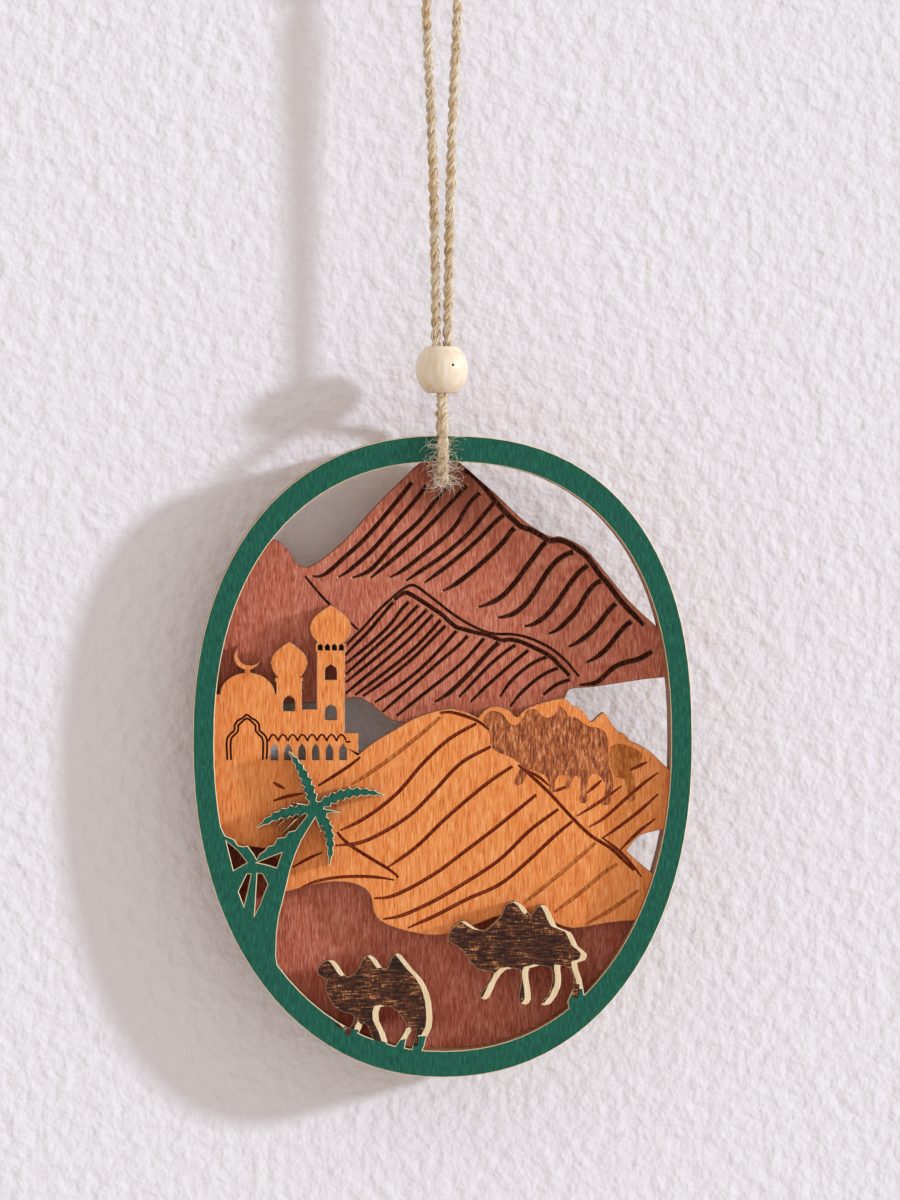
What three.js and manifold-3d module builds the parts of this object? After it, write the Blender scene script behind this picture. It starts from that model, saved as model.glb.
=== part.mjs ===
// A wooden hanging decoration: three laser-cut plywood sheets glued face to face in an oval stack, hung from
// a loop of jute twine that passes through a turned wooden bead.
// Millimetres. +Z is up, the scene faces -Y, and the origin is where the loop hangs.

import * as THREE from 'three';
import { mergeVertices } from 'three/addons/utils/BufferGeometryUtils.js';
import Module from 'manifold-3d';

// Driving dimensions

const SHEET = 3; // thickness of each plywood sheet
const OVAL_WIDTH = 77.8;
const OVAL_HEIGHT = 100;
const WIDEST_ABOVE_MIDDLE = 2; // the oval is widest a little above its middle
const RIM_SIDE = 3.3; // width of the oval rim at its sides
const RIM_END = 4.1; // width of the oval rim at its top and bottom
const RIM_STEPS = 96; // straight runs round the oval

// The oval is drawn by eye: each quarter has its own squareness, where 2 is a plain ellipse.
const SQUARENESS = { upperRight: 2.43, upperLeft: 2.26, lowerLeft: 2.12, lowerRight: 2.17 };

const HOLE_RADIUS = 1.25; // the hanging hole, in the rear sheet only
const HOLE_BELOW_RIM = 2.65; // from the rim's inner edge down to the hole's centre
const DROP = 78.2; // from the hanging point down to the hole

const BEAD_RADIUS = 4.1;
const BEAD_HEIGHT = 7.3;
const BEAD_BORE = 1.95; // radius
const BEAD_CHAMFER = 0.25;
const BEAD_ABOVE_HOLE = 17; // from the hole up to the bead's middle

const TWINE_RADIUS = 0.75;
const TWINE_SIDES = 8;
const KNOT_RADIUS = 2.1;
const TAIL_LENGTH = 7;
const FACING = 0.3; // between the knot and the twine that leaves it

const wasm = await Module();
wasm.setup();

// Solids from three.js geometry, and back

function solidFrom(geometry) {
  const bare = geometry.clone();
  bare.deleteAttribute('normal');
  bare.deleteAttribute('uv');
  const merged = mergeVertices(bare, 1e-4);
  return new wasm.Manifold(new wasm.Mesh({
    numProp: 3,
    vertProperties: merged.attributes.position.array,
    triVerts: new Uint32Array(merged.index.array),
  }));
}

function geometryFrom(solid) {
  const { vertProperties, triVerts } = solid.getMesh();
  const geometry = new THREE.BufferGeometry();
  geometry.setAttribute('position', new THREE.BufferAttribute(vertProperties, 3));
  geometry.setIndex(new THREE.BufferAttribute(triVerts, 1));
  const faceted = geometry.toNonIndexed();
  faceted.computeVertexNormals();
  return faceted;
}

function join(solids) {
  return solids.reduce((whole, solid) => whole.add(solid));
}

function cut(solid, tools) {
  return tools.reduce((rest, tool) => rest.subtract(tool), solid);
}

// Flat outlines. Sheets are drawn from the front, u to the right and v up from the middle of the oval.

const points = (list) => list.map(([u, v]) => new THREE.Vector2(u, v));

// A smooth line through points.
function smooth(line, steps = 3) {
  return new THREE.SplineCurve(line).getPoints(steps * (line.length - 1));
}

// A smooth closed line through points.
function smoothLoop(line, steps = 2) {
  const loop = line.map(({ x, y }) => new THREE.Vector3(x, y, 0));
  const curve = new THREE.CatmullRomCurve3(loop, true, 'centripetal');
  return curve.getPoints(steps * line.length).slice(0, -1).map(({ x, y }) => new THREE.Vector2(x, y));
}

// Camels, palms, dunes and mountains are drawn by hand on a grid of squares that stretches with the oval.
const SQUARES_ACROSS = 77.8;
const SQUARES_UP = 100;
const square = new THREE.Vector2(OVAL_WIDTH / SQUARES_ACROSS, OVAL_HEIGHT / SQUARES_UP);

const onGrid = (list) => points(list).map((point) => point.multiply(square));
const smoothOnGrid = (list) => smooth(onGrid(list));

function block(left, right, bottom, top) {
  return points([[left, bottom], [right, bottom], [right, top], [left, top]]);
}

function disc(u, v, radius, steps = 24) {
  return new THREE.EllipseCurve(u, v, radius, radius, 0, 2 * Math.PI).getPoints(steps).slice(0, -1);
}

// A plate of one sheet's thickness from a closed outline.
function plate(outline) {
  const shape = new THREE.Shape(outline);
  return solidFrom(new THREE.ExtrudeGeometry(shape, { depth: SHEET, bevelEnabled: false }));
}

// A cutter stands proud of both faces of a sheet.
const PROUD = 1;

function cutter(outline) {
  const shape = new THREE.Shape(outline);
  const geometry = new THREE.ExtrudeGeometry(shape, { depth: SHEET + 2 * PROUD, bevelEnabled: false });
  return solidFrom(geometry.translate(0, 0, -PROUD));
}

// Draws the oval, drawn in from the rim's outside by the two insets.
function oval(insetSide, insetEnd) {
  const halfWidth = OVAL_WIDTH / 2 - insetSide;
  const above = OVAL_HEIGHT / 2 - insetEnd - WIDEST_ABOVE_MIDDLE;
  const below = OVAL_HEIGHT / 2 - insetEnd + WIDEST_ABOVE_MIDDLE;
  const { upperRight, upperLeft, lowerLeft, lowerRight } = SQUARENESS;
  const quarters = [upperRight, upperLeft, lowerLeft, lowerRight];
  const line = [];
  for (let i = 0; i < RIM_STEPS; i++) {
    const angle = (2 * Math.PI * i) / RIM_STEPS;
    const power = 2 / quarters[Math.floor((4 * i) / RIM_STEPS)];
    const across = Math.sign(Math.cos(angle)) * Math.abs(Math.cos(angle)) ** power;
    const up = Math.sign(Math.sin(angle)) * Math.abs(Math.sin(angle)) ** power;
    line.push(new THREE.Vector2(across * halfWidth, WIDEST_ABOVE_MIDDLE + up * (up > 0 ? above : below)));
  }
  return line;
}

const rim = () => cut(plate(oval(0, 0)), [cutter(oval(RIM_SIDE, RIM_END))]);

// Scenery runs into the middle of the rim, where it joins it.
const sceneryLimit = () => cutter(oval(RIM_SIDE / 2, RIM_END / 2));

function sheetWith(scenery) {
  return join([rim(), scenery.intersect(sceneryLimit())]);
}

// Front sheet: the ring, two palms and two camels

const PALM_CROWN = [-20, -8.3];
const CROWN_RADIUS = 0.95;
const FROND_HALF_WIDTH = 1.05;

// A frond is a leaf on a curved rib out of the crown. Both its edges step in and out with the leaflets.
function frond({ bow, tip, leaflets }) {
  const [start, bend, end] = onGrid([PALM_CROWN, bow, tip]);
  const rib = new THREE.QuadraticBezierCurve(start, bend, end);
  const edge = (t, side, reach) => {
    const along = rib.getTangent(t);
    const fullness = Math.sin(Math.PI * Math.min(1, 0.12 + 0.88 * t) ** 0.8) ** 0.6;
    const out = side * FROND_HALF_WIDTH * fullness * reach;
    return rib.getPoint(t).add(new THREE.Vector2(-along.y * out, along.x * out));
  };
  const left = [];
  const right = [];
  for (let i = 0; i < leaflets; i++) {
    for (const [t, reach] of [[(i + 0.15) / leaflets, 0.6], [(i + 0.8) / leaflets, 1]]) {
      left.push(edge(t, 1, reach));
      right.unshift(edge(t, -1, reach));
    }
  }
  return plate([...left, end, ...right]);
}

const LARGE_FRONDS = [
  { bow: [-20.8, -3.2], tip: [-24, 0.9], leaflets: 8 },
  { bow: [-15.2, -4.2], tip: [-9.1, -6], leaflets: 9 },
  { bow: [-16.9, -10.2], tip: [-17.7, -17], leaflets: 8 },
  { bow: [-24.6, -7.7], tip: [-29, -11], leaflets: 7 },
];

// The narrow leaflets that hang apart, below the left frond and beside the trunk.
const LEAFLETS = [
  [[-22.6, -8.3], [-26, -10.9], [-24, -9.1]],
  [[-21.6, -8.6], [-25.2, -12], [-22.9, -9.6]],
  [[-21, -8], [-23.5, -7], [-20.6, -7.5]],
  [[-19.2, -8.9], [-15.6, -8.6], [-18.6, -8]],
  [[-20, -9], [-18.9, -12], [-19.2, -8.9]],
];

// The trunks stand in one mass of green that fills the ring's lower left.
const PALM_GROUND = onGrid([
  [-37, -7], [-35.2, -9.5], [-33.9, -12.2], [-32.5, -12.8], [-31.9, -13.7], [-31.2, -13.9], [-30.4, -13.8],
  [-29.5, -15], [-29, -15.9], [-28.5, -15], [-27.9, -14.7], [-27.2, -13.8], [-26.4, -13.7], [-25.8, -12.6],
  [-24.6, -12.4], [-24, -11.6], [-23, -11.4], [-21.9, -10], [-20.8, -8.6], [-19.7, -9.2], [-20.6, -10.6],
  [-22, -12.9], [-23, -15.2], [-23.8, -17.7], [-24.7, -21.5], [-25.5, -24.6], [-25.9, -27.4], [-26, -31],
  [-25.4, -35.6], [-31, -33], [-39, -20],
]);

// The slits between the small palm's leaves and stem.
const PALM_SLITS = [
  [[-33.7, -13.1], [-32, -14.5], [-30.5, -16.4], [-32.6, -17.6]],
  [[-28.9, -16.4], [-27.2, -15.7], [-25.1, -14.9], [-25.9, -17.2], [-27.5, -16.7]],
  [[-30.5, -18.2], [-29.9, -18.2], [-30.4, -20.7], [-31, -23.2], [-31.8, -20.9]],
  [[-28.9, -18.1], [-28.1, -18.2], [-27.3, -19.8], [-28.5, -22.9], [-29.3, -24.5]],
];

function palms() {
  const leaflets = LEAFLETS.map((leaflet) => plate(onGrid(leaflet)));
  const [{ x, y }] = onGrid([PALM_CROWN]);
  const crown = plate(disc(x, y, CROWN_RADIUS, 12));
  const ground = cut(plate(PALM_GROUND), PALM_SLITS.map((slit) => cutter(onGrid(slit))));
  return [...LARGE_FRONDS.map(frond), ...leaflets, crown, ground];
}

// Both camels stand with their feet in the ring.
const LEFT_CAMEL = [
  [-19.5, -33.8], [-19.2, -32.5], [-18.3, -31.8], [-17.1, -31.7], [-16.1, -32.8], [-15, -34.3],
  [-13.8, -33.7], [-12.9, -32.5], [-12.3, -31.3], [-11.4, -30.9], [-10.3, -31.7], [-9.4, -33], [-8.6, -32.9],
  [-8, -31.3],
  [-7, -30.6], [-5.9, -31.7], [-4.8, -33.1], [-3.3, -34.7], [-2.2, -36.9], [-1.7, -39.8], [-1.8, -42.2],
  [-2.6, -43.8], [-3.4, -46.2], [-4.9, -46], [-4.3, -43.8], [-4.1, -42.3], [-4.8, -42.5], [-5.8, -44.4],
  [-6.2, -46], [-7.7, -45.8], [-6.6, -43.9], [-5.6, -41.9], [-6.6, -40.3], [-7.9, -39], [-9.8, -39],
  [-10, -41.1], [-9.1, -43], [-8.7, -45.2], [-10.3, -45.4], [-11.2, -43], [-12.3, -41.3], [-13, -42.8],
  [-14.6, -44.2], [-15.7, -43.7], [-14.5, -42.3], [-13.8, -40.3], [-15.5, -39.7], [-16.8, -38.9],
  [-17.9, -37.2], [-18.3, -35.7], [-18, -34.7],
];

const RIGHT_CAMEL = [
  [0.8, -27.9], [2.1, -26.1], [3.3, -25.6], [4.8, -26.6], [6.4, -27.2], [7.8, -26.2], [9.2, -24.7],
  [9.8, -23.1], [11.3, -22.6], [12.7, -23.5], [13.7, -24.8], [14.8, -23.4], [15.9, -23.2], [16.8, -24.5],
  [17.8, -26.6],
  [20, -27.5], [21, -29.6], [22.4, -30.8], [22.1, -31.8], [20.9, -32.2], [21.6, -34.7], [22, -37],
  [22.4, -39], [20.4, -40.4], [19.4, -38.3], [20.4, -36], [20, -33.2], [18.3, -32.6], [18.4, -34.2],
  [18.3, -35.9], [16.7, -38.6], [15.3, -38.7], [16.4, -37.1], [17.1, -35], [16.8, -32.8], [13.5, -33],
  [13.3, -34.5], [13.7, -37.8], [13, -38.7], [11.8, -38.1], [12.3, -35], [12, -33.2], [9.8, -33.2],
  [8.3, -35], [7.2, -37.5], [6.4, -37.9], [5.8, -37.3], [7.2, -35.3], [8, -33.6], [6.5, -33.4], [5.2, -32.9],
  [3.8, -31.2], [2.6, -29.7], [1, -28.8],
];

function frontSheet() {
  const camels = [LEFT_CAMEL, RIGHT_CAMEL].map((camel) => plate(smoothLoop(onGrid(camel))));
  return sheetWith(join([...camels, ...palms()]));
}

// Middle sheet: domed buildings and dunes

const WALL_FOOT = -2; // the walls run down into the dune behind them
const HALL_TOP = 9.7; // of the wall below the round dome
const LINK_TOP = 7.3; // of the wall between the towers
const ARCADE = { right: -13.1, top: 3.6 };
const LAP = 0.5; // how far shapes that are joined run into each other

const SHORT_TOWER = { left: -25.9, right: -21.9, ledge: 11.6 };
const TALL_TOWER = { left: -19.6, right: -15.2, gallery: 17.6 };
const LEDGE_HEIGHT = 0.7;
const GALLERY_HEIGHT = 1.3;
const LEDGE_REACH = 0.2; // out from the tower's walls

const ROUND_DOME = { middle: -30.4, halfWidth: 4.3, height: 3.45 };
const SHORT_DOME = { halfWidth: 2.85, halfFoot: 1.7, height: 5.7 };
const TALL_DOME = { halfWidth: 3.25, halfFoot: 1.9, height: 6.1 };

// The moon is a disc with a smaller disc cut out of it, towards the upper right.
const MOON = { radius: 2.1, hollow: 1.99, shift: 0.67, towards: 56 };
const MOON_STEM = { height: 0.45, halfWidth: 0.42 };

const TOWER_WINDOW = { height: 2.4, halfWidth: 0.92 };
const TOWER_SILLS = [5.65, 11.9];
const SHORT_SILL = 7.05;
const GALLERY_WINDOWS = { inset: 0.55, pitch: 1.1, count: 4, height: 1, halfWidth: 0.38 };
const ARCADE_WINDOWS = { first: -26.2, pitch: 2.14, count: 6, sill: -0.6, height: 2.5, halfWidth: 0.56 };

// An onion dome: it swells out of its drum and draws in to a point.
function onionDome(middle, foot, { halfWidth, halfFoot, height }) {
  const side = [
    [halfFoot, 0], [halfWidth * 0.86, height * 0.19], [halfWidth, height * 0.42],
    [halfWidth * 0.82, height * 0.67], [halfWidth * 0.38, height * 0.87], [0, height],
  ];
  const right = smooth(points(side.map(([out, up]) => [middle + out, foot + up])));
  const left = smooth(points(side.map(([out, up]) => [middle - out, foot + up]))).reverse().slice(1);
  return plate([...right, ...left]);
}

function roundDome({ middle, halfWidth, height }, foot) {
  return plate(new THREE.EllipseCurve(middle, foot, halfWidth, height, 0, Math.PI).getPoints(20));
}

// A window with a pointed arch.
function archedWindow(middle, sill, { height, halfWidth }) {
  const side = [[halfWidth, height * 0.55], [halfWidth * 0.8, height * 0.7 + halfWidth * 0.25], [0, height]];
  const right = smooth(points(side.map(([out, up]) => [middle + out, sill + up])), 2);
  const left = smooth(points(side.map(([out, up]) => [middle - out, sill + up])), 2).reverse().slice(1);
  return cutter([...points([[middle - halfWidth, sill], [middle + halfWidth, sill]]), ...right, ...left]);
}

function row(first, sill, windows) {
  const { count, pitch } = windows;
  return Array.from({ length: count }, (_, i) => archedWindow(first + i * pitch, sill, windows));
}

// The crescent moon stands on the round dome.
function crescent(middle, foot) {
  const { radius, hollow, shift, towards } = MOON;
  const { halfWidth, height } = MOON_STEM;
  const v = foot + height + radius;
  const angle = THREE.MathUtils.degToRad(towards);
  const bite = cutter(disc(middle + shift * Math.cos(angle), v + shift * Math.sin(angle), hollow, 32));
  const stem = plate(block(middle - halfWidth, middle + halfWidth, foot - LAP, foot + height + LAP / 2));
  return join([cut(plate(disc(middle, v, radius, 32)), [bite]), stem]);
}

function buildings() {
  const tall = (TALL_TOWER.left + TALL_TOWER.right) / 2;
  const short = (SHORT_TOWER.left + SHORT_TOWER.right) / 2;
  const ledgeTop = SHORT_TOWER.ledge + LEDGE_HEIGHT;
  const galleryFoot = TALL_TOWER.gallery - GALLERY_HEIGHT;
  const walls = [
    block(-OVAL_WIDTH / 2, SHORT_TOWER.right, WALL_FOOT, HALL_TOP),
    block(SHORT_TOWER.right - LAP, TALL_TOWER.right, WALL_FOOT, LINK_TOP),
    block(TALL_TOWER.right - LAP, ARCADE.right, WALL_FOOT, ARCADE.top),
    block(SHORT_TOWER.left, SHORT_TOWER.right, HALL_TOP - LAP, ledgeTop),
    block(SHORT_TOWER.left - LEDGE_REACH, SHORT_TOWER.right + LEDGE_REACH, SHORT_TOWER.ledge, ledgeTop),
    block(TALL_TOWER.left, TALL_TOWER.right, LINK_TOP - LAP, TALL_TOWER.gallery),
    block(TALL_TOWER.left - LEDGE_REACH, TALL_TOWER.right + LEDGE_REACH, galleryFoot, TALL_TOWER.gallery),
  ].map(plate);
  const domes = [
    roundDome(ROUND_DOME, HALL_TOP - LAP / 4),
    crescent(ROUND_DOME.middle, HALL_TOP - LAP / 4 + ROUND_DOME.height),
    onionDome(short, ledgeTop - LAP / 4, SHORT_DOME),
    onionDome(tall, TALL_TOWER.gallery - LAP / 4, TALL_DOME),
  ];
  const windows = [
    ...TOWER_SILLS.map((sill) => archedWindow(tall, sill, TOWER_WINDOW)),
    archedWindow(short, SHORT_SILL, TOWER_WINDOW),
    ...row(TALL_TOWER.left + GALLERY_WINDOWS.inset, galleryFoot + LEDGE_REACH, GALLERY_WINDOWS),
    ...row(ARCADE_WINDOWS.first, ARCADE_WINDOWS.sill, ARCADE_WINDOWS),
  ];
  return cut(join([...walls, ...domes]), windows);
}

// The dunes' skyline runs from the buildings over the dune and the backs of the camels walking on it.
const SKYLINE = [
  ...smoothOnGrid([[-14.5, -0.9], [-12.9, 0.4], [-10.4, 2.3], [-7.2, 4.2], [-4.4, 5.8], [-1.6, 6.8],
    [0.8, 7.3], [3.1, 7], [5.6, 5.9]]),
  ...smoothOnGrid([[6.6, 7.1], [7.6, 7.6], [9, 7.6], [10.5, 7], [11.6, 6], [13.1, 7.3], [15.4, 8.2],
    [17.4, 8.7], [19.1, 8.9], [20.3, 7.9], [21.5, 7.4], [22.3, 6.6], [23.3, 5.3], [24.3, 6.1], [25.3, 6.7],
    [26.3, 5.3],
    [27.4, 3.8], [28.5, 3.3], [29.4, 2.3], [31.3, 1.4], [32.9, 0.3], [34.4, -1.2], [38.5, -5]]),
];

const DUNE_FOOT = smoothOnGrid([
  [38, -25], [31.4, -25.7], [26.3, -26.1], [20.3, -27], [16.6, -25.7], [13, -24.8], [9, -25], [5.2, -26.4],
  [1.8, -27.6], [-1.5, -28], [-4.5, -27.6], [-7.2, -26.9], [-9.6, -25.8], [-10.7, -24.3], [-11.1, -22.1],
  [-12, -20.8], [-13.8, -19.9], [-16.6, -19.6], [-19.4, -19.9], [-22.6, -20.7], [-24.7, -21.2],
]);

const DUNE_LEFT = onGrid([[-25, -17.3], [-26.9, -14.5], [-30.8, -14], [-38.5, -12]]);

// Where two dunes part beside the ring, the wall behind shows between them.
const DUNE_NOTCH = [
  ...smoothOnGrid([[37.5, -11.2], [33.9, -11.7], [31.4, -12.3], [30.2, -13.1], [28.8, -14.9]]),
  ...onGrid([[30.6, -16.6], [32.3, -18], [36.5, -21.2]]),
];

function middleSheet() {
  const dunes = plate([...SKYLINE, ...DUNE_FOOT, ...DUNE_LEFT, ...onGrid([[-38.5, -1], [-14.5, -1]])]);
  const scenery = cut(join([buildings(), dunes]), [cutter(DUNE_NOTCH)]);
  return sheetWith(scenery);
}

// Rear sheet: mountains above, bare ground below, and the hanging hole

const holeAboveMiddle = OVAL_HEIGHT / 2 - RIM_END - HOLE_BELOW_RIM;

const MOUNTAINS = [
  ...smoothOnGrid([[-31.5, 30.5], [-28.1, 33.6], [-27, 33.9], [-25.3, 33.3], [-24.1, 32.2], [-23, 30.5],
    [-22.2, 29.6], [-20.8, 29.4]]),
  ...smoothOnGrid([[-19.3, 30.2], [-16.6, 32.3], [-13.8, 35], [-10, 39.3], [-5.6, 43.6], [-3.4, 45.6],
    [0, 47],
    [3, 45.6], [5.7, 43.3], [8.3, 41], [10.7, 38.7], [13, 36.6], [15.6, 34.9], [17.4, 34.1], [18.5, 34.2],
    [20, 33.7], [22.6, 32.2], [25.5, 28.8], [29.1, 24.4], [33, 20.7], [37.5, 17]]),
  ...smoothOnGrid([[38.5, 12.5], [34.7, 12.1], [31.7, 11.8], [28.9, 11.4], [23.6, 10.6], [20.6, 10.4],
    [19.6, 9.6], [18.6, 6.6]]),
  ...smoothOnGrid([[16.3, 3.6], [8.9, 3], [-0.5, 3.6], [-4.4, 4.8], [-7.6, 5.4], [-9.5, 6.7], [-11.2, 8.1],
    [-12.8, 8.9], [-14.9, 8.9], [-19.8, 8.2], [-38.5, 8.2]]),
  ...onGrid([[-38.5, 20]]),
];

const GROUND = [
  ...smoothOnGrid([[-38, -10.2], [-22.2, -13.2], [-15.2, -16.3], [-6.7, -21.6], [5.8, -23.2], [18.2, -22.6],
    [29.1, -21.6], [38, -21.4]]),
  ...onGrid([[38, -50], [-38, -50]]),
];

function rearSheet() {
  const scenery = join([plate(MOUNTAINS), plate(GROUND)]);
  return cut(sheetWith(scenery), [cutter(disc(0, holeAboveMiddle, HOLE_RADIUS, 32))]);
}

// The bead: a turned ball, flat where its bore breaks out

function beadGeometry() {
  const half = BEAD_HEIGHT / 2;
  const mouth = BEAD_BORE + BEAD_CHAMFER;
  const swell = half / Math.sqrt(1 - (mouth / BEAD_RADIUS) ** 2);
  const start = Math.asin(half / swell);
  const profile = [];
  for (let i = 0; i <= 12; i++) {
    const angle = -start + (2 * start * i) / 12;
    profile.push(new THREE.Vector2(BEAD_RADIUS * Math.cos(angle), swell * Math.sin(angle)));
  }
  profile.push(new THREE.Vector2(BEAD_BORE, half - BEAD_CHAMFER));
  profile.push(new THREE.Vector2(BEAD_BORE, BEAD_CHAMFER - half));
  profile.push(profile[0].clone());
  return new THREE.LatheGeometry(profile, 32).rotateX(Math.PI / 2);
}

// The twine's route, from the knot down its front half to the middle of the hole. The back half is the same,
// turned half round the plumb line, so the two halves lie side by side above the bead and one before the
// other below it.

const TWINE_HALF = [
  [-0.85, 0, 1.1], [-1.85, 0, -1.1], [-2.4, 0, -3.9], [-2.25, 0, -9], [-1.65, 0, -22.4],
  [-1.2, 0, -38], [-1.02, 0, -48], [-0.9, 0, -56], [-0.82, -0.36, -58.7], [-0.62, -0.64, -61],
  [-0.3, -0.85, -63.2], [0, -0.95, -64.6], [0, -2.05, -65.8], [0, -3.75, -67.1], [0, -5.1, -68.5],
  [0, -5.55, -70], [0, -5.55, -76], [0, -5.2, -77.2], [0, -4.4, -77.95], [0, -3.4, -78.2],
];

const twineRoute = [
  ...TWINE_HALF.map(([x, y, z]) => new THREE.Vector3(x, y, z)),
  ...TWINE_HALF.map(([x, y, z]) => new THREE.Vector3(-x, -y, z)).reverse(),
];

// Steps fall at the route's own points and midway between them, and these lie closer where the twine bends.
class Route extends THREE.CatmullRomCurve3 {
  getSpacedPoints(steps) {
    return this.getPoints(steps);
  }

  getTangentAt(t, target) {
    return this.getTangent(t, target);
  }
}

function twineGeometry() {
  const section = new THREE.Shape(disc(0, 0, TWINE_RADIUS, TWINE_SIDES));
  const extrudePath = new Route(twineRoute, false, 'centripetal');
  const steps = 2 * (twineRoute.length - 1);
  return new THREE.ExtrudeGeometry(section, { steps, bevelEnabled: false, extrudePath });
}

// The knot: the two ends drawn into a tight turn, with the twine's halves below and two cut tails above. It
// is drawn about its own middle.

const twineEnd = twineRoute[0];
const KNOT_FLATNESS = 0.8;
const KNOT_SQUASH = 0.85;
const TURN_RADIUS = 1.5;
const TURN_LEANS = [0.35, -0.5]; // in radians, and a little way up the knot too
const STUB_LENGTH = 2;
const stubMiddle = -KNOT_RADIUS * KNOT_SQUASH;

function tail(side) {
  const route = new THREE.CatmullRomCurve3([
    new THREE.Vector3(side * 0.5, 0, KNOT_RADIUS * 0.4),
    new THREE.Vector3(side * 0.9, side * 0.2, KNOT_RADIUS * 1.2),
    new THREE.Vector3(side * 1.7, side * 0.3, KNOT_RADIUS + TAIL_LENGTH * 0.5),
    new THREE.Vector3(side * 2.3, side * 0.1, KNOT_RADIUS + TAIL_LENGTH),
  ]);
  const section = new THREE.Shape(disc(0, 0, TWINE_RADIUS, TWINE_SIDES));
  return solidFrom(new THREE.ExtrudeGeometry(section, { steps: 8, bevelEnabled: false, extrudePath: route }));
}

function stub(side) {
  const geometry = new THREE.CylinderGeometry(TWINE_RADIUS, TWINE_RADIUS, STUB_LENGTH, TWINE_SIDES);
  return solidFrom(geometry.rotateX(Math.PI / 2).translate(side * Math.abs(twineEnd.x), 0, stubMiddle));
}

function turn(lean) {
  const geometry = new THREE.TorusGeometry(TURN_RADIUS, TWINE_RADIUS, TWINE_SIDES, 20);
  return solidFrom(geometry.rotateX(Math.PI / 2).rotateY(lean).translate(0, 0, lean));
}

function knotGeometry() {
  const ball = new THREE.SphereGeometry(KNOT_RADIUS, 16, 10).rotateX(Math.PI / 2);
  const heart = solidFrom(ball.scale(1, KNOT_FLATNESS, KNOT_SQUASH));
  return geometryFrom(join([heart, ...TURN_LEANS.map(turn), stub(-1), stub(1), tail(-1), tail(1)]));
}

// Assembly

const finish = (color, roughness) => new THREE.MeshStandardMaterial({ color, roughness, metalness: 0 });

function piece(name, geometry, material) {
  const mesh = new THREE.Mesh(geometry, material);
  mesh.name = name;
  return mesh;
}

// The panel is drawn from the front, so it is stood up here with its sheets stacked towards the viewer.
const panel = new THREE.Group();
panel.rotation.x = Math.PI / 2;
panel.position.z = -DROP - holeAboveMiddle;

const SHEETS = [
  ['rear_sheet', rearSheet, '#9c5646'],
  ['middle_sheet', middleSheet, '#e29a50'],
  ['front_sheet', frontSheet, '#1f5a48'],
];

SHEETS.forEach(([name, make, colour], layer) => {
  const sheet = piece(name, geometryFrom(make()), finish(colour, 0.6));
  sheet.position.z = (layer - SHEETS.length / 2) * SHEET;
  panel.add(sheet);
});

const bead = piece('bead', beadGeometry(), finish('#f0dfbd', 0.5));
bead.position.z = -DROP + BEAD_ABOVE_HOLE;

const twine = piece('twine', twineGeometry(), finish('#c8a982', 0.95));

const knot = piece('twine_knot', knotGeometry(), finish('#c8a982', 0.95));
knot.position.z = twineEnd.z + FACING + STUB_LENGTH / 2 - stubMiddle;

const decoration = new THREE.Group();
decoration.add(panel, bead, twine, knot);

export default decoration;
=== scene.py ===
# A wooden hanging decoration in front of a pale wall: three laser-cut plywood sheets, painted, stained and
# engraved, on a loop of two-ply jute twine with a turned wooden bead.
import math
import random

import bmesh
import bpy
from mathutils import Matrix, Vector, noise


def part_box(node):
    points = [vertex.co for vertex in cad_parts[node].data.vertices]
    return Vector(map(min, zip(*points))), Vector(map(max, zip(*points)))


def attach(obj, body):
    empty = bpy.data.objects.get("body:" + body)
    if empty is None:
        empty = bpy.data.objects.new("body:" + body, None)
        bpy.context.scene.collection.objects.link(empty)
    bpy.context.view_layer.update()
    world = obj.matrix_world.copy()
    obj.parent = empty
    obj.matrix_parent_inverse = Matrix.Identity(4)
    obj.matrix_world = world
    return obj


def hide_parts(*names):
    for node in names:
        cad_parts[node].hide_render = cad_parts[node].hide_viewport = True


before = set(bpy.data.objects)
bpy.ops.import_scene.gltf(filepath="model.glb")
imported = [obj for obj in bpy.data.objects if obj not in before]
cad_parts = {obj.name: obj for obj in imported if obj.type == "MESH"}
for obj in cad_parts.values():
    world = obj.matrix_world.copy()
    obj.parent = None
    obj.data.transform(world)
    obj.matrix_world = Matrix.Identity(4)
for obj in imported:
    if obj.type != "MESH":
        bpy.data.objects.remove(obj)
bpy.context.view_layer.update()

MM = 0.001

# Where the sheets are: they face -Y, and +Z is up
front_low, front_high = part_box("front_sheet")
middle_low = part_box("middle_sheet")[0]
rear_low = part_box("rear_sheet")[0]
SHEET = front_high.y - front_low.y
OVAL_MIDDLE = (front_low.z + front_high.z) / 2

# The photograph's frame, in its own pixels
PHOTO_SIZE = (900, 1200)
PX_PER_MM = 6.43
OVAL_MIDDLE_PX = (443, 757)


def on_panel(u, v):
    """A place on the panel as (x, z), from millimetres right of and above the oval's middle."""
    return Vector((u * MM, OVAL_MIDDLE + v * MM))


def from_photo(px, py):
    """The same from a pixel of the photograph."""
    return on_panel((px - OVAL_MIDDLE_PX[0]) / PX_PER_MM, (OVAL_MIDDLE_PX[1] - py) / PX_PER_MM)


# Camera: a long lens a little to the left of the panel and above it
CAMERA_DISTANCE = 1.0
CAMERA_LEFT = math.radians(2.2)
CAMERA_ABOVE = math.radians(1.5)
SENSOR_MM = 36


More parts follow.
